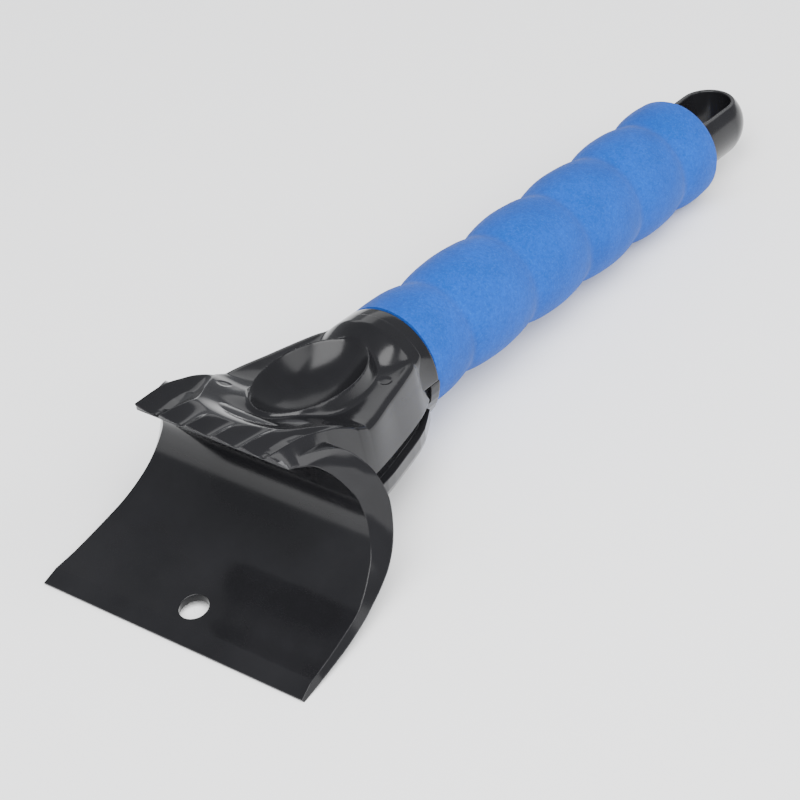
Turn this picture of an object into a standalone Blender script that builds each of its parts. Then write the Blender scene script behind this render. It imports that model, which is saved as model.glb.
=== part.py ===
"""Windshield ice scraper: a moulded scoop head with ice-breaker teeth and a thumb rest, a screwed-on
lower shell, a hollow handle core that ends in a hanging eye, and a foam grip.

The tool is modelled along its handle axis (millimetres, +Y towards the hanging eye, +Z on the thumb
side) and an empty then tips it to the way it lies on a table: on its blade edge and its last grip ring.
"""

import math

import bmesh
import bpy
import numpy as np

MM = 0.001
GAP = 0.3

# Handle: radii round the Y axis and stations along it.
GRIP_START = 1.9
GRIP_END = 165.0
GRIP_CREST = 18.5
GRIP_VALLEY = 16.3
GRIP_FIRST_CREST = 7.0
GRIP_LAST_CREST = 157.0
GRIP_VALLEYS = (24.0, 58.0, 89.0, 119.0, 146.0)
GRIP_EDGE = 2.5
CORE_RADIUS = 12.0
CORE_BORE = 9.5
CORE_FRONT = -7.6
CORE_BORE_END = 158.0
EYE_BODY_RADIUS = 12.6
EYE_BODY_START = 165.3
EYE_BODY_BEND = 186.0
TIP = 200.0
EYE_HALF_THICKNESS = 8.5
EYE_HALF_WIDTH = 7.8
EYE_FRONT = 167.5
EYE_REAR = 195.0

# Collar, made of an upper half on the head and a lower half on the lower shell.
COLLAR_RADIUS = 19.4
COLLAR_DROP = 1.1
COLLAR_FRONT = -4.5
COLLAR_REAR = 1.6
COLLAR_SHOULDER = -7.0
FLANGE_HALF_WIDTH = 9.0
FLANGE_HALF_HEIGHT = 13.3
FLANGE_DEPTH = 2.4

# Scoop: each station holds the front face's (y, z, half-width) and the back face's.
BLADE_HALF_WIDTH = 50.0
SCOOP_STATIONS = (
    ((-106.5, -36.6, BLADE_HALF_WIDTH - 0.3), (-106.1, -37.5, BLADE_HALF_WIDTH)),
    ((-101.4, -33.9, 49.0), (-100.6, -36.2, 49.9)),
    ((-94.5, -32.4, 48.4), (-94.2, -34.7, 49.7)),
    ((-86.0, -29.9, 47.7), (-85.1, -32.5, 49.2)),
    ((-77.5, -27.0, 46.9), (-76.0, -29.8, 48.2)),
    ((-72.7, -24.3, 45.8), (-70.6, -27.4, 47.5)),
    ((-68.5, -20.8, 44.5), (-65.5, -24.3, 47.0)),
    ((-64.9, -16.7, 43.1), (-61.0, -20.2, 46.5)),
    ((-62.5, -12.0, 41.5), (-57.6, -15.0, 45.7)),
    ((-61.1, -6.6, 39.6), (-55.6, -8.5, 44.7)),
    ((-61.3, -0.6, 37.3), (-55.0, -1.1, 43.5)),
    ((-63.9, 5.0, 35.8), (-55.8, 5.0, 41.4)),
    ((-67.4, 10.6, 33.8), (-57.5, 10.6, 38.0)),
    ((-71.8, 15.1, 31.3), (-61.8, 16.2, 33.4)),
    ((-76.6, 17.0, 29.5), (-70.0, 18.6, 29.6)),
    ((-79.6, 17.6, 28.5), (-78.4, 19.4, 27.2)),
)
BLADE_HOLE_Y = -94.7
BLADE_HOLE_RADIUS = 4.6

# Body: the top face, its ramp up to the teeth, the side facets and the parting line.
BODY_REAR = -3.0
BODY_FRONT = -84.0
FACE_LEVEL = 10.2
FACE_RAMP = ((-84.0, 23.0), (-75.0, 21.6), (-70.0, 20.6), (-60.0, 17.6), (-55.0, 15.6),
             (-50.0, 13.3), (-45.0, 11.3), (-40.0, 10.4), (-35.0, FACE_LEVEL), (0.0, FACE_LEVEL))
WING_CREST = ((-84.0, 23.3), (-72.0, 22.7), (-60.7, 19.7), (-52.0, 16.0), (-47.0, 12.9), (-43.0, 10.9))
TOP_HALF_WIDTH = ((-84.0, 24.8), (-72.0, 25.5), (-60.7, 26.2), (-52.0, 26.8), (-44.0, 27.6),
                  (-26.0, 23.3), (-8.0, 18.0), (-3.0, 16.2))
SIDE_HALF_WIDTH = ((-84.0, 28.0), (-76.0, 29.4), (-72.0, 30.8), (-66.0, 32.4), (-60.0, 32.0),
                   (-44.0, 30.2), (-26.0, 26.4), (-12.0, 22.6), (-3.0, 18.8))
SIDE_BOTTOM = ((-84.0, 17.9), (-79.6, 18.0), (-76.6, 17.5), (-71.8, 15.7), (-67.4, 11.4), (-63.9, 6.0),
               (-61.6, 0.6), (-60.2, -3.4), (-55.0, -3.5), (-12.0, -5.0), (-3.0, -5.0))
UNDERCUT_Y = -79.6
WALL = 2.4

# Ice-breaker teeth: ridges across the front, grooves between them that die out on a bow-shaped line.
RIDGES = (5.1, 15.1)
GROOVE_REAR = ((0.0, -73.6), (5.0, -73.0), (14.8, -68.4), (26.7, -46.0))
GROOVE_DEPTH = 3.3
DIP_Y = -61.0
DIP_DEPTH = 3.4
DIP_SPREAD = 15.0
DIP_LENGTH = 7.5
GROOVE_SLOPE = 0.34
FRONT_LEAN = 0.77

# Thumb rest: an oval bowl inside a raised rim.
RIM_CENTRE_Y = -35.0
RIM_FRONT = 23.0
RIM_REAR = 21.5
RIM_HALF_WIDTH = 14.0
RIM_LEVEL = 15.5
RIM_SLOPE = 2.4
BOWL_DEPTH = 8.6
BOWL_MOUTH_RISE = 26.0

# Screws, their bosses on the head and their pads on the lower shell.
SCREW_SPOTS = {"front_left": (-19.8, -49.6), "front_right": (19.8, -49.6),
               "rear_left": (-16.2, -20.2), "rear_right": (16.2, -20.2)}
BOSS_RADIUS = 4.0
PAD_RADIUS = 4.7
SCREW_SHANK = 1.35
SCREW_HEAD = 3.0
SCREW_TIP = 3.0
PILOT_TOP = 4.0

# Lower shell.
TRAY_FRONT = -54.2
TRAY_REAR = -4.2
TRAY_TOP = -7.6
TRAY_FLOOR = -14.6
TRAY_HALF_WIDTH = ((-55.0, 32.6), (-44.0, 31.9), (-26.0, 28.2), (-15.0, 25.2), (-9.0, 22.2), (-3.0, 18.8))
SLOT_RECESS = 2.6


def curve(points, y):
    """A smooth curve through (y, value) points, monotone between them."""
    ys = np.array([p[0] for p in points])
    values = np.array([p[1] for p in points])
    slopes = np.diff(values) / np.diff(ys)
    tangents = np.zeros(len(ys))
    same = slopes[1:] * slopes[:-1] > 0
    tangents[1:-1][same] = 2 / (1 / slopes[1:][same] + 1 / slopes[:-1][same])
    tangents[0], tangents[-1] = slopes[0], slopes[-1]
    at = np.clip(y, ys[0], ys[-1])
    i = np.clip(np.searchsorted(ys, at, side="right") - 1, 0, len(ys) - 2)
    step = ys[i + 1] - ys[i]
    t = (at - ys[i]) / step
    start = (1 + 2 * t) * (1 - t) ** 2 * values[i] + t * (1 - t) ** 2 * step * tangents[i]
    return start + t * t * (3 - 2 * t) * values[i + 1] + t * t * (t - 1) * step * tangents[i + 1]


def soft_max(a, b, blend):
    return 0.5 * (a + b + np.sqrt((a - b) ** 2 + blend ** 2))


def soft_min(a, b, blend):
    return 0.5 * (a + b - np.sqrt((a - b) ** 2 + blend ** 2))


def groove_depth(x, y):
    """Depth of the ice-breaker grooves below the crest surface."""
    across = np.abs(x)
    edge = curve(TOP_HALF_WIDTH, y)
    lows = (-RIDGES[0], RIDGES[0], RIDGES[1])
    highs = (RIDGES[0], RIDGES[1], edge)
    depth = np.zeros(np.broadcast(x, y).shape)
    for low, high in zip(lows, highs):
        t = (2 * across - low - high) / (high - low)
        depth = np.where(np.abs(t) < 1, 1 - t * t, depth)
    rear = np.interp(across, [p[0] for p in GROOVE_REAR], [p[1] for p in GROOVE_REAR])
    run = np.maximum(rear - y, 0)
    return depth * GROOVE_DEPTH * np.tanh(GROOVE_SLOPE * run / GROOVE_DEPTH)


def top_height(x, y):
    """Height of the head's upper surface: face and ramp, wings, collar, thumb rest and grooves."""
    edge = curve(TOP_HALF_WIDTH, y)
    outward = np.clip((np.abs(x) - RIDGES[1]) / (edge - RIDGES[1]), 0, 1)
    face = curve(FACE_RAMP, y)
    face = face + np.maximum(curve(WING_CREST, y) - face, 0) * outward ** 2
    face = face - DIP_DEPTH * np.exp(-(x / DIP_SPREAD) ** 2 - ((y - DIP_Y) / DIP_LENGTH) ** 2)
    half_length = np.where(y < RIM_CENTRE_Y, RIM_FRONT, RIM_REAR)
    oval = np.sqrt(((y - RIM_CENTRE_Y) / half_length) ** 2 + (x / RIM_HALF_WIDTH) ** 2)
    shoulder = RIM_LEVEL + RIM_HALF_WIDTH * np.where(oval > 1, -RIM_SLOPE, -0.15) * (oval - 1)
    ahead = np.maximum(COLLAR_SHOULDER - y, 0)
    collar = np.sqrt(np.maximum(COLLAR_RADIUS ** 2 - x ** 2, 0.0)) - COLLAR_DROP
    collar = collar - 0.5 * ahead ** 2 / (ahead + 2.0)
    outside = soft_max(soft_max(face, shoulder, 0.8), collar, 1.2)
    bowl = RIM_LEVEL + np.where(oval > 1, BOWL_MOUTH_RISE * (oval - 1), BOWL_DEPTH * (oval ** 2.6 - 1))
    return soft_min(outside, bowl, 0.5) - groove_depth(x, y)


def new_object(name, mesh, collection, parent):
    item = bpy.data.objects.new(name, mesh)
    collection.objects.link(item)
    item.parent = parent
    return item


def shade(mesh, degrees=35):
    mesh.shade_smooth()
    mesh.set_sharp_from_angle(angle=math.radians(degrees))


def ring_loft(name, rings, collection, parent):
    """A closed solid through rings of equal point count, capped at both ends."""
    bm = bmesh.new()
    rows = [[bm.verts.new(np.array(point) * MM) for point in ring] for ring in rings]
    count = len(rows[0])
    for low, high in zip(rows, rows[1:]):
        for i in range(count):
            j = (i + 1) % count
            bm.faces.new((low[i], low[j], high[j], high[i]))
    bm.faces.new(rows[0][::-1])
    bm.faces.new(rows[-1])
    bmesh.ops.recalc_face_normals(bm, faces=bm.faces)
    mesh = bpy.data.meshes.new(name)
    bm.to_mesh(mesh)
    bm.free()
    shade(mesh)
    return new_object(name, mesh, collection, parent)


def turned(name, profile, collection, parent, steps=32, centre=(0, 0), along_y=True):
    """A solid turned from (radius, station) points, listed down its outer side from top to bottom."""
    mesh = bpy.data.meshes.new(name)
    points = [(radius * MM, 0, station * MM) for radius, station in profile]
    edges = [(i, i + 1) for i in range(len(points) - 1)]
    if profile[0][0] > 0:
        edges.append((len(points) - 1, 0))
    mesh.from_pydata(points, edges, [])
    item = new_object(name, mesh, collection, parent)
    if along_y:
        item.rotation_euler.x = -math.pi / 2
    else:
        item.location = (centre[0] * MM, centre[1] * MM, 0)
    screw = item.modifiers.new("turn", "SCREW")
    screw.axis = "Z"
    screw.steps = steps
    screw.render_steps = steps
    screw.use_merge_vertices = True
    screw.merge_threshold = 0.00001
    screw.use_smooth_shade = True
    return item


def box(name, low, high, collection, parent, bevel=0.0):
    bm = bmesh.new()
    bmesh.ops.create_cube(bm, size=1)
    size = np.subtract(high, low)
    middle = np.add(high, low) / 2
    for vert in bm.verts:
        vert.co = (np.array(vert.co) * size + middle) * MM
    mesh = bpy.data.meshes.new(name)
    bm.to_mesh(mesh)
    bm.free()
    item = new_object(name, mesh, collection, parent)
    if bevel:
        rounding = item.modifiers.new("rounding", "BEVEL")
        rounding.width = bevel * MM
        rounding.segments = 2
    return item


def combine(target, other, operation):
    """Adds one Boolean; the other object then only guides."""
    for home in list(other.users_collection):
        home.objects.unlink(other)
    bpy.data.collections["cutters"].objects.link(other)
    other.hide_render = True
    other.display_type = "WIRE"
    boolean = target.modifiers.new(other.name, "BOOLEAN")
    boolean.operation = operation
    boolean.solver = "EXACT"
    boolean.object = other


def material(name, colour, roughness, metallic=0.0):
    finish = bpy.data.materials.new(name)
    finish.use_nodes = True
    shader = finish.node_tree.nodes["Principled BSDF"]
    shader.inputs["Base Color"].default_value = (*colour, 1)
    shader.inputs["Roughness"].default_value = roughness
    shader.inputs["Metallic"].default_value = metallic
    return finish


def scoop(collection, parent):
    """The blade and the curled scoop behind it, thin at the edge and deep along its flared sides."""
    rings = []
    for front, back in SCOOP_STATIONS:
        rings.append([(-front[2], front[0], front[1]), (front[2], front[0], front[1]),
                      (back[2], back[0], back[1]), (-back[2], back[0], back[1])])
    return ring_loft("scoop_form", rings, collection, parent)


def body_ring(y, columns, rise=0.0, inset=0.0):
    """One closed section of the body: the top surface, the two side facets and the underside."""
    edge = float(curve(TOP_HALF_WIDTH, y)) - inset
    side = float(curve(SIDE_HALF_WIDTH, y)) - inset
    low = float(curve(SIDE_BOTTOM, y)) if not inset else -60.0
    x = np.linspace(-1, 1, columns) * edge
    fade = np.clip((UNDERCUT_Y + 6 - y) / 10, 0, 1) if not inset else 0.0
    station = y + FRONT_LEAN * groove_depth(x, np.full(columns, BODY_FRONT)) * fade
    z = top_height(x, station) + rise
    bottom = min(max(y, UNDERCUT_Y), BODY_REAR)
    ring = list(zip(x, station, z))
    ring += [(side, bottom, low), (0.5 * side, bottom, low), (-0.5 * side, bottom, low), (-side, bottom, low)]
    return ring


def post(name, x, y, radius, cutters, parent):
    """A round post kept standing inside a hollow."""
    return turned(name, [(0, 40), (radius, 40), (radius, -40), (0, -40)], cutters, parent, 16, (x, y), False)


def head(parts, cutters, parent):
    columns = 41
    stations = np.concatenate([np.linspace(BODY_FRONT, -62, 16), np.linspace(-60.4, BODY_REAR, 34)])
    item = ring_loft("scraper_head", [body_ring(y, columns) for y in stations], parts, parent)
    combine(item, scoop(cutters, parent), "UNION")
    ring_profile = [(COLLAR_RADIUS, COLLAR_REAR), (COLLAR_RADIUS, COLLAR_SHOULDER - 0.3),
                    (CORE_BORE, COLLAR_SHOULDER - 0.3), (CORE_BORE, COLLAR_REAR)]
    collar = turned("upper_collar_form", ring_profile, cutters, parent, 48)
    collar.location.z = -COLLAR_DROP * MM
    lower_half = box("upper_collar_half", (-30, -20, -30), (30, 20, GAP / 2), cutters, parent)
    combine(collar, lower_half, "DIFFERENCE")
    combine(item, collar, "UNION")

    hollow = [body_ring(y, 15, -WALL, WALL) for y in np.linspace(-54, COLLAR_FRONT - 3.0, 16)]
    hollow = ring_loft("head_hollow", hollow, cutters, parent)
    for spot, (x, y) in SCREW_SPOTS.items():
        combine(hollow, post("boss_" + spot, x, y, BOSS_RADIUS, cutters, parent), "DIFFERENCE")
    seat = box("flange_seat", (-FLANGE_HALF_WIDTH - GAP, COLLAR_FRONT - 3.4, -30),
               (FLANGE_HALF_WIDTH + GAP, COLLAR_FRONT - GAP, FLANGE_HALF_HEIGHT + GAP), cutters, parent)
    passage = turned("core_passage", [(0, 20), (CORE_RADIUS + GAP, 20), (CORE_RADIUS + GAP, -12), (0, -12)],
                     cutters, parent, 47)
    for cutter in (hollow, seat, passage):
        combine(item, cutter, "DIFFERENCE")

    for spot, (x, y) in SCREW_SPOTS.items():
        radius = SCREW_SHANK + GAP
        profile = [(0, PILOT_TOP), (radius, PILOT_TOP), (radius, -30), (0, -30)]
        combine(item, turned("pilot_" + spot, profile, cutters, parent, 12, (x, y), False), "DIFFERENCE")
    profile = [(0, -20), (BLADE_HOLE_RADIUS, -20), (BLADE_HOLE_RADIUS, -45), (0, -45)]
    combine(item, turned("blade_hole", profile, cutters, parent, 24, (0, BLADE_HOLE_Y), False), "DIFFERENCE")
    return item


def tray_ring(y, inset, bottom, top, corner):
    """A section of the lower shell: flat floor, rounded lower corners, upright sides."""
    width = float(curve(TRAY_HALF_WIDTH, y)) - inset
    right = [(width, y, top)]
    for a in np.linspace(0, math.pi / 2, 4):
        right.append((width - corner + corner * math.cos(a), y, bottom + corner - corner * math.sin(a)))
    return right + [(-x, y, z) for x, _, z in right[::-1]]


def lower_shell(parts, cutters, parent):
    stations = np.linspace(TRAY_FRONT, TRAY_REAR, 12)
    item = ring_loft("lower_shell", [tray_ring(y, 0, TRAY_FLOOR, TRAY_TOP, 3.0) for y in stations], parts, parent)
    lip = [tray_ring(y, SLOT_RECESS, TRAY_FLOOR + 1, float(curve(SIDE_BOTTOM, y)) - GAP, 2.0) for y in stations]
    combine(item, ring_loft("tray_lip", lip, cutters, parent), "UNION")
    ring_profile = [(COLLAR_RADIUS, COLLAR_REAR), (COLLAR_RADIUS, COLLAR_FRONT), (CORE_RADIUS + 2, -9.0),
                    (CORE_BORE, -9.0), (CORE_BORE, COLLAR_REAR)]
    collar = turned("lower_collar_form", ring_profile, cutters, parent, 48)
    collar.location.z = -COLLAR_DROP * MM
    upper_half = box("lower_collar_half", (-30, -20, -GAP / 2), (30, 20, 30), cutters, parent)
    ears = box("lower_collar_ears", (-30, -20, -5.9), (30, BODY_REAR + GAP, 30), cutters, parent)
    combine(collar, upper_half, "DIFFERENCE")
    combine(collar, ears, "DIFFERENCE")
    combine(item, collar, "UNION")

    inner = [tray_ring(y, SLOT_RECESS + WALL, TRAY_FLOOR + WALL, 5, 1.5)
             for y in np.linspace(TRAY_FRONT + WALL, COLLAR_FRONT - 3.4, 10)]
    hollow = ring_loft("tray_hollow", inner, cutters, parent)
    for spot, (x, y) in SCREW_SPOTS.items():
        combine(hollow, post("pad_" + spot, x, y, PAD_RADIUS, cutters, parent), "DIFFERENCE")
    seat = box("lower_flange_seat", (-FLANGE_HALF_WIDTH - GAP, COLLAR_FRONT - 3.6, -FLANGE_HALF_HEIGHT - GAP),
               (FLANGE_HALF_WIDTH + GAP, COLLAR_FRONT - GAP, 30), cutters, parent)
    passage = turned("lower_core_passage", [(0, 20), (CORE_RADIUS + GAP, 20), (CORE_RADIUS + GAP, -12), (0, -12)],
                     cutters, parent, 47)
    for cutter in (hollow, seat, passage):
        combine(item, cutter, "DIFFERENCE")

    seat_top = TRAY_FLOOR + 2.7
    for spot, (x, y) in SCREW_SPOTS.items():
        profile = [(0, 10), (SCREW_SHANK + GAP, 10), (SCREW_SHANK + GAP, seat_top), (SCREW_HEAD + 0.4, seat_top),
                   (SCREW_HEAD + 0.4, -30), (0, -30)]
        combine(item, turned("sink_" + spot, profile, cutters, parent, 16, (x, y), False), "DIFFERENCE")
    return item


def screw(spot, x, y, parts, cutters, parent):
    """A pan-head self-tapping screw with a cross recess, driven up into its boss."""
    seat = TRAY_FLOOR + 2.7 - GAP
    face = TRAY_FLOOR + 0.3
    profile = [(0, SCREW_TIP), (0.5, SCREW_TIP), (SCREW_SHANK, SCREW_TIP - 1.5), (SCREW_SHANK, seat),
               (SCREW_HEAD, seat), (SCREW_HEAD, face + 0.9), (SCREW_HEAD - 0.8, face + 0.2), (0, face)]
    item = turned("shell_screw_" + spot, profile, parts, parent, 16, (x, y), along_y=False)
    for angle in (0, 1):
        half = (2.0, 0.4)[:: 1 - 2 * angle]
        slot = box(f"recess_{spot}_{angle}", (x - half[0], y - half[1], face - 1),
                   (x + half[0], y + half[1], face + 1.1), cutters, parent)
        combine(item, slot, "DIFFERENCE")
    return item


def handle_core(parts, cutters, parent):
    """The tube under the grip, its flange in the collar and the solid eye at its far end."""
    end = [(EYE_BODY_RADIUS * math.sin(a), EYE_BODY_BEND + (TIP - EYE_BODY_BEND) * math.cos(a))
           for a in np.linspace(0, math.pi / 2, 9)]
    profile = end + [(EYE_BODY_RADIUS, EYE_BODY_START), (CORE_RADIUS, EYE_BODY_START), (CORE_RADIUS, CORE_FRONT),
                     (CORE_BORE, CORE_FRONT), (CORE_BORE, CORE_BORE_END), (0, CORE_BORE_END + 3)]
    item = turned("handle_core", profile, parts, parent, 40)
    flange_rear = CORE_FRONT + FLANGE_DEPTH
    flange = box("core_flange", (-FLANGE_HALF_WIDTH, CORE_FRONT + 0.01, -FLANGE_HALF_HEIGHT + GAP),
                 (FLANGE_HALF_WIDTH, flange_rear, FLANGE_HALF_HEIGHT - GAP), cutters, parent, 1.0)
    bore = turned("flange_bore", [(0, 5), (CORE_BORE + 1, 5), (CORE_BORE + 1, -20), (0, -20)], cutters, parent, 40)
    combine(flange, bore, "DIFFERENCE")
    combine(item, flange, "UNION")
    for side, name in ((1, "flat_top"), (-1, "flat_bottom")):
        low, high = sorted((40 * side, EYE_HALF_THICKNESS * side))
        flat = box(name, (-30, EYE_BODY_START + 0.01, low), (30, TIP + 20, high), cutters, parent)
        combine(item, flat, "DIFFERENCE")
    radius = EYE_HALF_WIDTH
    front, rear = EYE_FRONT + radius, EYE_REAR - radius
    outline = [(radius * math.cos(a), rear + radius * math.sin(a)) for a in np.linspace(0, math.pi, 13)]
    outline += [(-radius * math.cos(a), front - radius * math.sin(a)) for a in np.linspace(0, math.pi, 13)]
    eye = ring_loft("hanging_eye", [[(x, y, z) for x, y in outline] for z in (-20, 20)], cutters, parent)
    combine(item, eye, "DIFFERENCE")
    return item


def grip_radius(y):
    """Scalloped outline: arcs between sharp valleys, with half arcs at the two ends."""
    valleys = (2 * GRIP_FIRST_CREST - GRIP_VALLEYS[0], *GRIP_VALLEYS, 2 * GRIP_LAST_CREST - GRIP_VALLEYS[-1])
    for low, high in zip(valleys, valleys[1:]):
        if low <= y <= high:
            t = (2 * y - low - high) / (high - low)
            return GRIP_VALLEY + (GRIP_CREST - GRIP_VALLEY) * math.sqrt(max(1 - t * t, 0)) ** 1.3
    return GRIP_VALLEY


def grip_outline():
    """The grip's outer profile as (radius, station), from its rounded far end to the collar."""
    stations = sorted({GRIP_START, GRIP_END - GRIP_EDGE, *GRIP_VALLEYS, GRIP_FIRST_CREST, GRIP_LAST_CREST}
                      | {low + (high - low) * f for low, high in zip(GRIP_VALLEYS, GRIP_VALLEYS[1:])
                         for f in (0.05, 0.2, 0.5, 0.8, 0.95)} | {15.0, 21.0, 147.5, 151.0})
    rim = grip_radius(GRIP_END - GRIP_EDGE)
    outer = [(rim - GRIP_EDGE + GRIP_EDGE * math.sin(a), GRIP_END - GRIP_EDGE + GRIP_EDGE * math.cos(a))
             for a in np.linspace(0, math.pi / 2, 3)]
    return outer + [(grip_radius(y), y) for y in reversed(stations[:-1])]


def foam_grip(parts, cutters, parent):
    bore = CORE_RADIUS + GAP
    profile = [(bore, GRIP_END)] + grip_outline() + [(bore, GRIP_START)]
    return turned("foam_grip", profile, parts, parent, 32)


def rest_transform(empty):
    """Tips the tool onto its blade edge and the grip's last crest, and centres it over the origin."""
    (front_y, front_z, _), (edge_y, edge_z, _) = SCOOP_STATIONS[0]
    pitch = min(math.atan2(-radius - edge_z, y - edge_y) for radius, y in grip_outline())
    cosine, sine = math.cos(pitch), math.sin(pitch)
    low_y = min(front_y * cosine + front_z * sine, edge_y * cosine + edge_z * sine)
    high_y = EYE_BODY_BEND * cosine + math.hypot((TIP - EYE_BODY_BEND) * cosine, EYE_BODY_RADIUS * sine)
    empty.rotation_euler.x = -pitch
    empty.location = (0, -(low_y + high_y) / 2 * MM, (edge_y * sine - edge_z * cosine) * MM)


def main():
    for item in list(bpy.data.objects):
        bpy.data.objects.remove(item, do_unlink=True)
    scene = bpy.context.scene
    parts = bpy.data.collections.new("windshield_ice_scraper")
    cutters = bpy.data.collections.new("cutters")
    scene.collection.children.link(parts)
    scene.collection.children.link(cutters)
    tool = bpy.data.objects.new("tool_axis", None)
    scene.collection.objects.link(tool)
    rest_transform(tool)

    black = material("gloss_black_plastic", (0.012, 0.012, 0.013), 0.16)
    dark = material("satin_black_plastic", (0.018, 0.018, 0.019), 0.38)
    foam = material("blue_foam", (0.048, 0.20, 0.58), 0.9)
    steel = material("zinc_plated_steel", (0.62, 0.62, 0.60), 0.35, 1.0)

    made = [(head(parts, cutters, tool), black), (lower_shell(parts, cutters, tool), black),
            (handle_core(parts, cutters, tool), dark), (foam_grip(parts, cutters, tool), foam)]
    for spot, (x, y) in SCREW_SPOTS.items():
        made.append((screw(spot, x, y, parts, cutters, tool), steel))
    for item, finish in made:
        item.data.materials.append(finish)


main()
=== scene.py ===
"""Windshield ice scraper on a pale studio floor: a glossy black scoop head, a screwed-on lower shell, a
scalloped blue foam grip and the hanging eye of the handle core.

Shapes are worked out in millimetres along the tool's own axis (+Y towards the hanging eye, +Z on the thumb
side) and then tipped to the resting pose of the CAD frame.
"""

import math

import bmesh
import bpy
import numpy as np
from mathutils import Matrix, Quaternion, Vector, noise


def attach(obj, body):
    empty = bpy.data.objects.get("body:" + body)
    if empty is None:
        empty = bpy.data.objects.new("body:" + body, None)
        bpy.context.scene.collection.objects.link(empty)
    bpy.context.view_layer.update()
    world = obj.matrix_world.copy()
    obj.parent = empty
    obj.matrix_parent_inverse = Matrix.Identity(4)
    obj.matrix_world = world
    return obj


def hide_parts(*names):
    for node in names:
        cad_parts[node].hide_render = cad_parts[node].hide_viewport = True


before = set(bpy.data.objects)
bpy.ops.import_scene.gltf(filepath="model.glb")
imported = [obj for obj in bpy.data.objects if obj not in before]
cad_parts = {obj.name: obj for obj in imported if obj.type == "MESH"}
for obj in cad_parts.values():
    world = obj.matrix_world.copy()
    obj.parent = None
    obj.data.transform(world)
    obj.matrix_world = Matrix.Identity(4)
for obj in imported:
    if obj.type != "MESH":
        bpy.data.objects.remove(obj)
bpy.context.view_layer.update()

MM = 0.001
GAP = 0.3
REST = Matrix.Translation((0, -0.0453296, 0.0297829)) @ Matrix.Rotation(-0.0718830, 4, "X")

# The same driving shape as the CAD part, in millimetres.
GRIP_START, GRIP_END, GRIP_EDGE = 1.9, 165.0, 2.5
GRIP_CREST, GRIP_VALLEY = 18.6, 15.9
GRIP_FIRST_CREST, GRIP_LAST_CREST = 7.0, 157.0
GRIP_VALLEYS = (24.0, 58.0, 89.0, 119.0, 146.0)
CORE_RADIUS, CORE_BORE, CORE_FRONT, CORE_BORE_END = 12.0, 9.5, -7.6, 158.0
EYE_BODY_RADIUS, EYE_BODY_START, EYE_BODY_BEND, TIP = 12.6, 165.3, 186.0, 200.0
EYE_HALF_THICKNESS, EYE_HALF_WIDTH, EYE_FRONT, EYE_REAR = 8.5, 7.8, 167.5, 195.0
FLANGE_HALF_WIDTH, FLANGE_HALF_HEIGHT, FLANGE_REAR = 9.0, 13.0, -5.2
COLLAR_RADIUS, COLLAR_DROP, COLLAR_SHOULDER, COLLAR_REAR = 19.4, 1.1, -7.0, 1.6
COLLAR_ROUNDING, PARTING_HALF_GAP = 0.9, 0.15
SCOOP_STATIONS = (
    ((-106.5, -36.6, 49.7), (-106.1, -37.5, 50.0)),
    ((-101.4, -33.9, 49.0), (-100.6, -36.2, 49.9)),
    ((-94.5, -32.4, 48.4), (-94.2, -34.7, 49.7)),
    ((-86.0, -29.9, 47.7), (-85.1, -32.5, 49.2)),
    ((-77.5, -27.0, 46.9), (-76.0, -29.8, 48.2)),
    ((-72.7, -24.3, 45.8), (-70.6, -27.4, 47.5)),
    ((-68.5, -20.8, 44.5), (-65.5, -24.3, 47.0)),
    ((-64.9, -16.7, 43.1), (-61.0, -20.2, 46.5)),
    ((-62.5, -12.0, 41.5), (-57.6, -15.0, 45.7)),
    ((-61.1, -6.6, 39.6), (-55.6, -8.5, 44.7)),
    ((-61.3, -0.6, 37.3), (-55.0, -1.1, 43.5)),
    ((-63.9, 5.0, 35.8), (-55.8, 5.0, 41.4)),
    ((-67.4, 10.6, 33.8), (-57.5, 10.6, 38.0)),
    ((-71.8, 15.1, 31.3), (-61.8, 16.2, 33.4)),
    ((-76.6, 17.0, 29.5), (-70.0, 18.6, 29.6)),
    ((-79.6, 17.6, 28.5), (-78.4, 19.4, 27.2)),
)
BODY_REAR, BODY_FRONT = -3.0, -84.0
WALL, HOLLOW_FRONT, HOLLOW_REAR = 2.4, -54.0, -7.5
FACE_LEVEL = 10.2
FACE_RAMP = ((-84.0, 23.0), (-75.0, 21.6), (-70.0, 20.6), (-60.0, 17.6), (-55.0, 15.6),
             (-50.0, 13.3), (-45.0, 11.3), (-40.0, 10.4), (-35.0, FACE_LEVEL), (0.0, FACE_LEVEL))
WING_CREST = ((-84.0, 23.3), (-72.0, 22.7), (-60.7, 19.7), (-52.0, 16.0), (-47.0, 12.9), (-43.0, 10.9))
TOP_HALF_WIDTH = ((-84.0, 24.8), (-72.0, 25.5), (-60.7, 26.2), (-52.0, 26.8), (-44.0, 27.6),
                  (-26.0, 23.3), (-8.0, 18.0), (-3.0, 16.2))
SIDE_HALF_WIDTH = ((-84.0, 28.0), (-76.0, 29.4), (-72.0, 30.8), (-66.0, 32.4), (-60.0, 32.0),
                   (-44.0, 30.2), (-26.0, 26.4), (-12.0, 22.6), (-3.0, 18.8))
SIDE_BOTTOM = ((-84.0, 17.9), (-79.6, 18.0), (-76.6, 17.5), (-71.8, 15.7), (-67.4, 11.4), (-63.9, 6.0),
               (-61.6, 0.6), (-60.2, -3.4), (-55.0, -3.5), (-12.0, -5.0), (-3.0, -5.0))
UNDERCUT_Y = -79.6
EDGE_ROUNDING = ((-84.0, 0.35), (-60.0, 0.5), (-48.0, 1.2), (-40.0, 2.2), (-8.0, 2.0), (-3.0, 1.6))
RIDGES = (5.1, 15.1)
GROOVE_REAR = ((0.0, -73.6), (5.0, -73.0), (14.8, -68.4), (26.7, -46.0))
GROOVE_DEPTH, GROOVE_SLOPE, FRONT_LEAN = 3.3, 0.34, 0.77
DIP_Y, DIP_DEPTH, DIP_SPREAD, DIP_LENGTH = -61.0, 3.4, 15.0, 7.5
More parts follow.
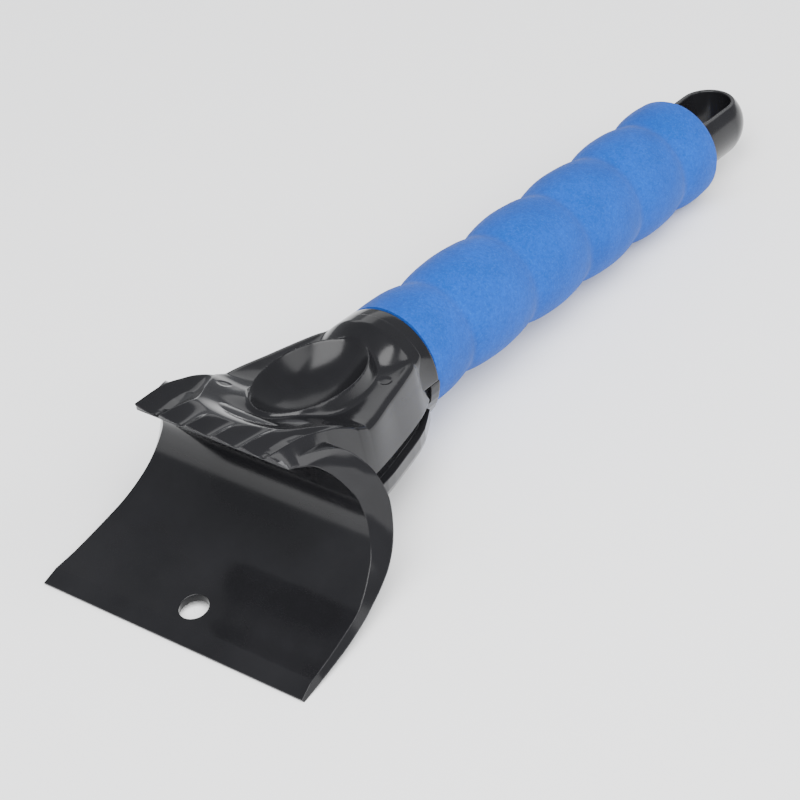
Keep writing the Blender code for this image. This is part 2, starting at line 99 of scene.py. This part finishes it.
RIM_CENTRE_Y, RIM_FRONT, RIM_REAR, RIM_HALF_WIDTH = -35.0, 23.0, 21.5, 14.0
RIM_LEVEL, RIM_SLOPE, BOWL_DEPTH, BOWL_MOUTH_RISE = 15.5, 2.4, 8.6, 26.0
SINK_MARKS = ((-19.8, -51.2), (19.8, -51.2), (-16.1, -20.2), (16.1, -20.2))
SINK_DEPTH, SINK_RADIUS = 0.18, 1.9
BLADE_HOLE_Y, BLADE_HOLE_RADIUS = -94.7, 4.6


def curve(points, y):
    """A smooth curve through (y, value) points, monotone between them."""
    ys = np.array([p[0] for p in points])
    values = np.array([p[1] for p in points])
    slopes = np.diff(values) / np.diff(ys)
    tangents = np.zeros(len(ys))
    same = slopes[1:] * slopes[:-1] > 0
    tangents[1:-1][same] = 2 / (1 / slopes[1:][same] + 1 / slopes[:-1][same])
    tangents[0], tangents[-1] = slopes[0], slopes[-1]
    at = np.clip(y, ys[0], ys[-1])
    i = np.clip(np.searchsorted(ys, at, side="right") - 1, 0, len(ys) - 2)
    step = ys[i + 1] - ys[i]
    t = (at - ys[i]) / step
    start = (1 + 2 * t) * (1 - t) ** 2 * values[i] + t * (1 - t) ** 2 * step * tangents[i]
    return start + t * t * (3 - 2 * t) * values[i + 1] + t * t * (t - 1) * step * tangents[i + 1]


def soft_max(a, b, blend):
    return 0.5 * (a + b + np.sqrt((a - b) ** 2 + blend ** 2))


def soft_min(a, b, blend):
    return 0.5 * (a + b - np.sqrt((a - b) ** 2 + blend ** 2))


def groove_depth(x, y):
    """Depth of the ice-breaker grooves below the crest surface."""
    across = np.abs(x)
    edge = curve(TOP_HALF_WIDTH, y)
    depth = np.zeros(np.broadcast(x, y).shape)
    for low, high in ((-RIDGES[0], RIDGES[0]), RIDGES, (RIDGES[1], edge)):
        t = (2 * across - low - high) / (high - low)
        depth = np.where(np.abs(t) < 1, 1 - t * t, depth)
    rear = np.interp(across, [p[0] for p in GROOVE_REAR], [p[1] for p in GROOVE_REAR])
    run = np.maximum(rear - y, 0)
    return depth * GROOVE_DEPTH * np.tanh(GROOVE_SLOPE * run / GROOVE_DEPTH)


def top_height(x, y):
    """Height of the head's upper surface: face and ramp, wings, collar, thumb rest, grooves, sink marks."""
    edge = curve(TOP_HALF_WIDTH, y)
    outward = np.clip((np.abs(x) - RIDGES[1]) / (edge - RIDGES[1]), 0, 1)
    face = curve(FACE_RAMP, y)
    face = face + np.maximum(curve(WING_CREST, y) - face, 0) * outward ** 2
    face = face - DIP_DEPTH * np.exp(-(x / DIP_SPREAD) ** 2 - ((y - DIP_Y) / DIP_LENGTH) ** 2)
    half_length = np.where(y < RIM_CENTRE_Y, RIM_FRONT, RIM_REAR)
    oval = np.sqrt(((y - RIM_CENTRE_Y) / half_length) ** 2 + (x / RIM_HALF_WIDTH) ** 2)
    shoulder = RIM_LEVEL + RIM_HALF_WIDTH * np.where(oval > 1, -RIM_SLOPE, -0.15) * (oval - 1)
    ahead = np.maximum(COLLAR_SHOULDER - y, 0)
    collar = np.sqrt(np.maximum(COLLAR_RADIUS ** 2 - x ** 2, 0.0)) - COLLAR_DROP
    collar = collar - 0.5 * ahead ** 2 / (ahead + 2.0)
    outside = soft_max(soft_max(face, shoulder, 0.8), collar, 1.2)
    bowl = RIM_LEVEL + np.where(oval > 1, BOWL_MOUTH_RISE * (oval - 1), BOWL_DEPTH * (oval ** 2.6 - 1))
    height = soft_min(outside, bowl, 0.5) - groove_depth(x, y)
    for mark_x, mark_y in SINK_MARKS:
        away = np.hypot(x - mark_x, y - mark_y)
        height = height - SINK_DEPTH / (1 + np.exp((away - SINK_RADIUS) * 8))
    return height


def place(name, mesh, hidden=False):
    """An object in the resting pose of the frame."""
    item = bpy.data.objects.new(name, mesh)
    bpy.context.scene.collection.objects.link(item)
    item.matrix_world = REST
    if hidden:
        item.hide_render = True
        item.hide_viewport = True
    return item


def ring_loft(name, rings, hidden=False, closed=False, smooth=40):
    """A solid through rings of equal point count, capped at both ends unless it closes on itself."""
    rings = np.asarray(rings, float) * MM
    rows, count = rings.shape[:2]
    mesh = bpy.data.meshes.new(name)
    index = np.arange(rows * count).reshape(rows, count)
    low, high = (index, np.roll(index, -1, 0)) if closed else (index[:-1], index[1:])
    faces = np.stack([low, np.roll(low, -1, 1), np.roll(high, -1, 1), high], -1).reshape(-1, 4).tolist()
    if not closed:
        faces += [index[0][::-1].tolist(), index[-1].tolist()]
    mesh.from_pydata(rings.reshape(-1, 3).tolist(), [], faces)
    bm = bmesh.new()
    bm.from_mesh(mesh)
    bmesh.ops.remove_doubles(bm, verts=bm.verts, dist=1e-7)
    bmesh.ops.recalc_face_normals(bm, faces=bm.faces)
    bm.to_mesh(mesh)
    bm.free()
    mesh.shade_smooth()
    mesh.set_sharp_from_angle(angle=math.radians(smooth))
    return place(name, mesh, hidden)


def turned(name, profile, steps=96, hidden=False, centre=(0, 0), upright=False):
    """A solid turned from (radius, station) points, round the tool's axis or an upright one."""
    rings = []
    for angle in np.linspace(0, 2 * math.pi, steps, endpoint=False):
        c, s = math.cos(angle), math.sin(angle)
        if upright:
            rings.append([(centre[0] + r * c, centre[1] + r * s, at) for r, at in profile])
        else:
            rings.append([(r * c, at, r * s) for r, at in profile])
    return ring_loft(name, rings, hidden, closed=True)


def box(name, low, high):
    (x0, y0, z0), (x1, y1, z1) = low, high
    rings = [[(x0, y0, z), (x1, y0, z), (x1, y1, z), (x0, y1, z)] for z in (z0, z1)]
    return ring_loft(name, rings, hidden=True)


def combine(target, others, operation):
    for other in others:
        boolean = target.modifiers.new(other.name, "BOOLEAN")
        boolean.operation = operation
        boolean.solver = "EXACT"
        boolean.object = other


def bake_shape(item, smooth=32):
    """Turns modifiers into the object's own mesh and drops what guided them."""
    guides = [m.object for m in item.modifiers if m.type == "BOOLEAN"]
    shape = bpy.data.meshes.new_from_object(item.evaluated_get(bpy.context.evaluated_depsgraph_get()))
    item.modifiers.clear()
    item.data = shape
    shape.shade_smooth()
    shape.set_sharp_from_angle(angle=math.radians(smooth))
    for guide in guides:
        bpy.data.objects.remove(guide)


def spline(values, samples):
    """Centripetal-like smooth rows through the given rows (Catmull-Rom on even steps)."""
    values = np.asarray(values, float)
    padded = np.concatenate([[2 * values[0] - values[1]], values, [2 * values[-1] - values[-2]]])
    at = np.asarray(samples)
    i = np.minimum(at.astype(int), len(values) - 2)
    t = (at - i)[:, None]
    a, b, c, d = (padded[i + k] for k in range(4))
    square, cube = 2 * a - 5 * b + 4 * c - d, 3 * b - a - 3 * c + d
    return 0.5 * (2 * b + (c - a) * t + square * t ** 2 + cube * t ** 3)


def scoop():
    """The blade and the curled scoop. The bevel at the blade edge stays a crisp line."""
    rows = [(*front, *back) for front, back in SCOOP_STATIONS]
    bevel = np.linspace(rows[0], rows[1], 5)[:-1]
    rest = spline(rows[1:], np.linspace(0, len(rows) - 2, 140))
    rings = []
    for fy, fz, fx, by, bz, bx in np.concatenate([bevel, rest]):
        front = [(x, fy, fz) for x in np.linspace(-fx, fx, 25)]
        side = [(fx + (bx - fx) * t, fy + (by - fy) * t, fz + (bz - fz) * t) for t in (0.25, 0.5, 0.75)]
        back = [(x, by, bz) for x in np.linspace(bx, -bx, 25)]
        rings.append(front + side + back + [(-x, y, z) for x, y, z in side[::-1]])
    return ring_loft("scoop", rings, hidden=True, smooth=25)


def body_ring(y, columns, rise=0.0, inset=0.0):
    """One closed section of the body: the top, rounded into the two side facets, and the underside."""
    edge = float(curve(TOP_HALF_WIDTH, y)) - inset
    side = float(curve(SIDE_HALF_WIDTH, y)) - inset
    low = float(curve(SIDE_BOTTOM, y)) if not inset else -60.0
    rounding = 0.0 if inset else float(curve(EDGE_ROUNDING, y))
    x = np.linspace(-1, 1, columns) * (edge - rounding)
    fade = np.clip((UNDERCUT_Y + 6 - y) / 10, 0, 1) if not inset else 0.0
    station = y + FRONT_LEAN * groove_depth(x, np.full(columns, BODY_FRONT)) * fade
    z = top_height(x, station) + rise
    bottom = min(max(y, UNDERCUT_Y), BODY_REAR)
    last = np.array([x[-1], station[-1], z[-1]])
    corner = np.array([edge, station[-1], z[-1] + (z[-1] - z[-2]) / (x[-1] - x[-2]) * rounding])
    foot = np.array([side, bottom, low])
    down = corner + (foot - corner) * min(rounding / np.linalg.norm(foot - corner), 0.5)
    flank = [] if inset else [(1 - t) ** 2 * last + 2 * t * (1 - t) * corner + t * t * down
                              for t in np.linspace(0.125, 1, 8)]
    flank += [down + (foot - down) * t for t in (0.25, 0.5, 0.75, 1.0)]
    ring = list(zip(x, station, z)) + [tuple(p) for p in flank]
    ring += [(0.5 * side, bottom, low), (-0.5 * side, bottom, low)]
    return ring + [(-p[0], p[1], p[2]) for p in flank[::-1]]


def collar_upper():
    """The upper half of the collar with its outer rims rounded."""
    rim, back = COLLAR_RADIUS - COLLAR_ROUNDING, COLLAR_REAR - COLLAR_ROUNDING
    arcs = [(rim + COLLAR_ROUNDING * math.sin(a), back + COLLAR_ROUNDING * math.cos(a))
            for a in np.linspace(0, math.pi / 2, 6)]
    front = COLLAR_SHOULDER - GAP
    profile = [(CORE_BORE, COLLAR_REAR)] + arcs + [(COLLAR_RADIUS, front), (CORE_BORE, front)]
    item = turned("collar_upper", profile, 128, hidden=True)
    item.data.transform(Matrix.Translation((0, 0, -COLLAR_DROP * MM)))
    item.hide_viewport = False
    combine(item, [box("collar_cut", (-30, -30, -30), (30, 20, PARTING_HALF_GAP))], "DIFFERENCE")
    bake_shape(item)
    item.hide_viewport = True
    return item


def head():
    """The scraper head: body, scoop and collar in one, hollowed, with the core's seat and the blade hole."""
    stations = np.concatenate([np.linspace(BODY_FRONT, -60, 81), np.linspace(-59.5, BODY_REAR, 151)])
    item = ring_loft("scraper_head_shape", [body_ring(y, 181) for y in stations])
    combine(item, [scoop(), collar_upper()], "UNION")
    rings = [body_ring(y, 15, -WALL, WALL) for y in np.linspace(HOLLOW_FRONT, HOLLOW_REAR, 16)]
    hollow = ring_loft("hollow", rings, hidden=True)
    seat_width = FLANGE_HALF_WIDTH + GAP
    seat = box("seat", (-seat_width, CORE_FRONT - GAP, -30), (seat_width, -4.8, 13.6))
    bore = CORE_RADIUS + GAP
    passage = turned("passage", [(0.01, 20), (bore, 20), (bore, -12), (0.01, -12)], 95, hidden=True)
    profile = [(0.01, -20), (BLADE_HOLE_RADIUS, -20), (BLADE_HOLE_RADIUS, -45), (0.01, -45)]
    hole = turned("blade_hole", profile, 96, hidden=True, centre=(0, BLADE_HOLE_Y), upright=True)
    combine(item, [hollow, seat, passage, hole], "DIFFERENCE")
    bake_shape(item)
    return item


def mark_zones(item):
    """Faces of the thumb bowl take material 1 and the blunt front faces of the teeth take material 2."""
    for face in item.data.polygons:
        x, y, z = face.center / MM
        half_length = RIM_FRONT if y < RIM_CENTRE_Y else RIM_REAR
        oval = math.hypot((y - RIM_CENTRE_Y) / half_length, x / RIM_HALF_WIDTH)
        if oval < 0.97 and z > 3:
            face.material_index = 1
        elif y < -79 and z > 14 and face.normal.y < -0.3:
            face.material_index = 2


def handle_core():
    """The tube under the grip, its flange in the collar and the finely rounded eye at its far end."""
    profile = [(EYE_BODY_RADIUS * math.sin(a), EYE_BODY_BEND + (TIP - EYE_BODY_BEND) * math.cos(a))
               for a in np.linspace(0, math.pi / 2, 40)]
    profile += [(EYE_BODY_RADIUS, EYE_BODY_START), (CORE_RADIUS, EYE_BODY_START), (CORE_RADIUS, CORE_FRONT),
                (CORE_BORE, CORE_FRONT), (CORE_BORE, CORE_BORE_END), (0, CORE_BORE_END + 3)]
    item = turned("handle_core_shape", profile, 160)
    flange = box("flange", (-FLANGE_HALF_WIDTH, CORE_FRONT + 0.01, -FLANGE_HALF_HEIGHT),
                 (FLANGE_HALF_WIDTH, FLANGE_REAR, FLANGE_HALF_HEIGHT))
    bore = turned("bore", [(0, 5), (CORE_BORE + 1, 5), (CORE_BORE + 1, -20), (0, -20)], 160, hidden=True)
    combine(flange, [bore], "DIFFERENCE")
    bake_shape(flange)
    combine(item, [flange], "UNION")
    low = (-30, EYE_BODY_START + 0.01)
    flats = [box("flat_top", (*low, EYE_HALF_THICKNESS), (30, TIP + 20, 40)),
             box("flat_bottom", (*low, -40), (30, TIP + 20, -EYE_HALF_THICKNESS))]
    front, rear = EYE_FRONT + EYE_HALF_WIDTH, EYE_REAR - EYE_HALF_WIDTH
    half = np.linspace(0, math.pi, 49)
    outline = [(EYE_HALF_WIDTH * math.cos(a), rear + EYE_HALF_WIDTH * math.sin(a)) for a in half]
    outline += [(-EYE_HALF_WIDTH * math.cos(a), front - EYE_HALF_WIDTH * math.sin(a)) for a in half]
    eye = ring_loft("eye", [[(x, y, z) for x, y in outline] for z in (-20, 20)], hidden=True)
    combine(item, flats + [eye], "DIFFERENCE")
    bake_shape(item)
    return item


def grip_radius(y):
    """Scalloped outline: arcs between sharp valleys, with half arcs at the two ends."""
    valleys = (2 * GRIP_FIRST_CREST - GRIP_VALLEYS[0], *GRIP_VALLEYS, 2 * GRIP_LAST_CREST - GRIP_VALLEYS[-1])
    for low, high in zip(valleys, valleys[1:]):
        if low <= y <= high:
            t = (2 * y - low - high) / (high - low)
            return GRIP_VALLEY + (GRIP_CREST - GRIP_VALLEY) * math.sqrt(max(1 - t * t, 0)) ** 1.3
    return GRIP_VALLEY


def foam():
    """The grip: fine scallops with softened valleys and a slightly uneven hand-feel surface."""
    stations = np.linspace(GRIP_START, GRIP_END - GRIP_EDGE, 420)
    radii = np.array([grip_radius(y) for y in stations])
    kernel = np.exp(-0.5 * (np.arange(-15, 16) / 3.6) ** 2)
    radii = np.convolve(np.pad(radii, 15, "edge"), kernel / kernel.sum(), "valid")
    outer = list(zip(radii, stations))
    rim, back = radii[-1] - GRIP_EDGE, GRIP_END - GRIP_EDGE
    outer += [(rim + GRIP_EDGE * math.sin(a), back + GRIP_EDGE * math.cos(a))
              for a in np.linspace(math.pi / 2, 0, 9)[1:]]
    bore = CORE_RADIUS + GAP
    outer += [(r, GRIP_END) for r in (14.6, 13.4, bore)]
    outer += [(bore, GRIP_START), (15.0, GRIP_START), (17.0, GRIP_START)]
    rings = []
    for angle in np.linspace(0, 2 * math.pi, 160, endpoint=False):
        c, s = math.cos(angle), math.sin(angle)
        ring = []
        for r, y in outer:
            uneven = noise.noise(Vector((r * c, y, r * s)) * 0.11) * 0.16 if r > 14 else 0
            ring.append(((r + uneven) * c, y, (r + uneven) * s))
        rings.append(ring)
    return ring_loft("foam_grip_shape", rings, closed=True, smooth=60)


def shade(colour, factor):
    """A colour made darker or lighter, with its alpha."""
    return (*[c * factor for c in colour], 1)


class Nodes:
    """Short calls for building one node material."""

    def __init__(self, name):
        self.material = bpy.data.materials.new(name)
        self.material.use_nodes = True
        self.tree = self.material.node_tree
        self.shader = self.tree.nodes["Principled BSDF"]
        self.place = self.add("ShaderNodeTexCoord").outputs["Object"]

    def add(self, kind, **settings):
        node = self.tree.nodes.new(kind)
        for key, value in settings.items():
            setattr(node, key, value)
        return node

    def link(self, out, into):
        self.tree.links.new(out, into)

    def value(self, socket, given):
        if isinstance(given, bpy.types.NodeSocket):
            self.link(given, socket)
        else:
            socket.default_value = given

    def noise(self, scale, detail=4.0, rough=0.55, stretch=None):
        node = self.add("ShaderNodeTexNoise")
        node.inputs["Scale"].default_value = scale
        node.inputs["Detail"].default_value = detail
        node.inputs["Roughness"].default_value = rough
        where = self.place
        if stretch:
            mapping = self.add("ShaderNodeMapping")
            mapping.inputs["Scale"].default_value = stretch[0]
            mapping.inputs["Rotation"].default_value = stretch[1]
            self.link(where, mapping.inputs["Vector"])
            where = mapping.outputs["Vector"]
        self.link(where, node.inputs["Vector"])
        return node.outputs["Fac"]

    def span(self, fac, low, high, to_low=0.0, to_high=1.0):
        node = self.add("ShaderNodeMapRange")
        for socket, given in zip(node.inputs[:5], (fac, low, high, to_low, to_high)):
            self.value(socket, given)
        return node.outputs["Result"]

    def math(self, operation, a, b):
        node = self.add("ShaderNodeMath", operation=operation)
        self.value(node.inputs[0], a)
        self.value(node.inputs[1], b)
        return node.outputs["Value"]

    def mix(self, fac, a, b):
        node = self.add("ShaderNodeMix", data_type="RGBA")
        colours = [s for s in node.inputs if s.type == "RGBA"]
        self.value(node.inputs["Factor"], fac)
        self.value(colours[0], a)
        self.value(colours[1], b)
        return next(s for s in node.outputs if s.type == "RGBA")

    def bump(self, height, distance, strength=1.0, below=None):
        node = self.add("ShaderNodeBump")
        node.inputs["Strength"].default_value = strength
        node.inputs["Distance"].default_value = distance
        self.link(height, node.inputs["Height"])
        if below:
            self.link(below, node.inputs["Normal"])
        return node.outputs["Normal"]

    def bevel(self, radius):
        node = self.add("ShaderNodeBevel", samples=8)
        node.inputs["Radius"].default_value = radius
        return node.outputs["Normal"]

    def edges(self, rounded):
        """1 where the rounded normal leaves the true one, on edges and corners."""
        true = self.add("ShaderNodeNewGeometry").outputs["Normal"]
        node = self.add("ShaderNodeVectorMath", operation="DOT_PRODUCT")
        self.link(rounded, node.inputs[0])
        self.link(true, node.inputs[1])
        return self.span(node.outputs["Value"], 0.97, 0.80)


def black_plastic(name, colour, roughness, rounding, specular=0.25):
    """Moulded plastic: faint orange peel, hairline scratches, soft mottling and paler worn edges."""
    n = Nodes(name)
    rounded = n.bevel(rounding)
    worn = n.math("MULTIPLY", n.edges(rounded), n.span(n.noise(220, 5), 0.42, 0.62))
    mottle = n.noise(35, 5)
    scratch = None
    for angle, scale in ((0.35, 90), (-0.5, 70), (1.45, 110)):
        lines = n.span(n.noise(scale, 2, 0.6, ((1, 0.02, 1), (0, 0, angle))), 0.66, 0.70)
        scratch = lines if scratch is None else n.math("MAXIMUM", scratch, lines)
    scratch = n.math("MULTIPLY", scratch, n.span(n.noise(18, 3), 0.45, 0.65))
    base = n.mix(n.span(mottle, 0.35, 0.65), shade(colour, 0.85), shade(colour, 1.2))
    base = n.mix(n.math("MULTIPLY", worn, 0.35), base, (0.09, 0.09, 0.095, 1))
    n.link(base, n.shader.inputs["Base Color"])
    rough = n.span(n.noise(60, 6, 0.6), 0.3, 0.7, roughness * 0.8, roughness * 1.25)
    rough = n.math("ADD", rough, n.math("MULTIPLY", scratch, 0.16))
    n.link(rough, n.shader.inputs["Roughness"])
    peel = n.bump(n.noise(900, 2), 0.00002, 0.12, rounded)
    n.link(n.bump(scratch, 0.00001, -0.25, peel), n.shader.inputs["Normal"])
    n.shader.inputs["Specular IOR Level"].default_value = specular
    return n.material


def foam_rubber(name, colour):
    """Cut foam: a fine open grain, soft mottling and a slight nap."""
    n = Nodes(name)
    patches = n.noise(70, 5, 0.6)
    grain = n.noise(1500, 4, 0.7)
    cells = n.add("ShaderNodeTexVoronoi")
    cells.inputs["Scale"].default_value = 1300
    n.link(n.place, cells.inputs["Vector"])
    base = n.mix(n.span(patches, 0.32, 0.68), shade(colour, 0.86), shade(colour, 1.1))
    base = n.mix(n.span(n.noise(800, 3, 0.65), 0.40, 0.62, 0.0, 0.45), base, shade(colour, 0.62))
    base = n.mix(n.span(grain, 0.50, 0.72, 0.0, 0.35), base, (0.02, 0.13, 0.50, 1))
    n.link(base, n.shader.inputs["Base Color"])
    n.link(n.span(n.noise(300, 3), 0.3, 0.7, 0.82, 0.97), n.shader.inputs["Roughness"])
    coarse = n.bump(n.noise(350, 4, 0.6), 0.0003, 0.35)
    fine = n.bump(grain, 0.0002, 0.5, coarse)
    n.link(n.bump(cells.outputs["Distance"], 0.0001, 0.35, fine), n.shader.inputs["Normal"])
    n.shader.inputs["Specular IOR Level"].default_value = 0.12
    n.shader.inputs["Sheen Weight"].default_value = 0.06
    n.shader.inputs["Sheen Roughness"].default_value = 0.5
    return n.material


def plated_steel(name):
    """Zinc plating: dull metal with fine mottling."""
    n = Nodes(name)
    base = n.mix(n.noise(500, 4), (0.50, 0.50, 0.48, 1), (0.66, 0.66, 0.64, 1))
    n.link(base, n.shader.inputs["Base Color"])
    n.link(n.span(n.noise(900, 3), 0.3, 0.7, 0.28, 0.45), n.shader.inputs["Roughness"])
    n.link(n.bump(n.noise(2500, 3), 0.00003, 0.3, n.bevel(0.0002)), n.shader.inputs["Normal"])
    n.shader.inputs["Metallic"].default_value = 1.0
    return n.material


def paint(item, *materials):
    item.data.materials.clear()
    for material in materials:
        item.data.materials.append(material)


def light(name, location, target, size, power):
    data = bpy.data.lights.new(name, "AREA")
    data.shape = "RECTANGLE"
    data.size, data.size_y = size
    data.energy = power
    item = bpy.data.objects.new(name, data)
    bpy.context.scene.collection.objects.link(item)
    item.location = location
    item.rotation_euler = (Vector(target) - Vector(location)).to_track_quat("-Z", "Y").to_euler()


def studio():
    """A pale floor, four soft lights, a dim even sky and the camera."""
    mesh = bpy.data.meshes.new("floor")
    mesh.from_pydata([(-4, -4, 0), (4, -4, 0), (4, 4, 0), (-4, 4, 0)], [], [(0, 1, 2, 3)])
    floor = bpy.data.objects.new("floor", mesh)
    bpy.context.scene.collection.objects.link(floor)
    n = Nodes("pale_floor")
    n.link(n.mix(n.noise(3, 3), (0.86, 0.86, 0.86, 1), (0.89, 0.89, 0.89, 1)), n.shader.inputs["Base Color"])
    n.shader.inputs["Roughness"].default_value = 0.7
    paint(floor, n.material)

    world = bpy.data.worlds.new("studio")
    world.use_nodes = True
    sky = world.node_tree.nodes["Background"]
    sky.inputs["Color"].default_value = (0.93, 0.95, 1.0, 1)
    sky.inputs["Strength"].default_value = 0.55
    bpy.context.scene.world = world
    light("overhead", (1.0, -1.0, 2.0), (0, -0.02, 0.02), (2.4, 2.4), 185)
    light("right", (1.5, 0.5, 1.0), (0, 0.02, 0.02), (0.9, 1.2), 16)
    light("far_strip", (-0.75, 0.95, 0.60), (0, -0.02, 0.03), (1.1, 0.4), 1.8)
    light("bowl_spot", (-0.15, -0.95, 1.0), (0, -0.03, 0.03), (0.22, 0.22), 1.6)

    data = bpy.data.cameras.new("camera")
    data.lens = 117.0
    data.sensor_width = 36.0
    data.clip_start = 0.05
    camera = bpy.data.objects.new("camera", data)
    bpy.context.scene.collection.objects.link(camera)
    camera.location = (0.43172, -0.53199, 0.49054)
    camera.rotation_mode = "QUATERNION"
    camera.rotation_quaternion = Quaternion((0.852458, 0.412803, 0.186312, 0.261145))
    bpy.context.scene.camera = camera


BLACK = (0.008, 0.008, 0.009)
gloss = black_plastic("gloss_black_plastic", BLACK, 0.13, 0.0005)
satin = black_plastic("satin_black_plastic", BLACK, 0.18, 0.0009)
blue = foam_rubber("blue_foam", (0.0015, 0.060, 0.34))
steel = plated_steel("zinc_plated_steel")
thumb = black_plastic("thumb_rest_plastic", BLACK, 0.20, 0.0005, 0.20)
blunt = black_plastic("blunt_tooth_plastic", (0.055, 0.055, 0.057), 0.5, 0.0003)

head_piece, grip_piece, core_piece = head(), foam(), handle_core()
mark_zones(head_piece)
for piece, node, slot_name, finishes in (
        (head_piece, "scraper_head", "gloss_black_plastic", (gloss, thumb, blunt)),
        (grip_piece, "foam_grip", "blue_foam", (blue,)),
        (core_piece, "handle_core", "satin_black_plastic", (satin,))):
    indices = [face.material_index for face in piece.data.polygons]
    paint(piece, *finishes)
    piece.data.polygons.foreach_set("material_index", indices)
    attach(piece, "root")
    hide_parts(node)
paint(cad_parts["lower_shell"], gloss)
for node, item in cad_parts.items():
    if node.startswith("shell_screw"):
        paint(item, steel)

studio()
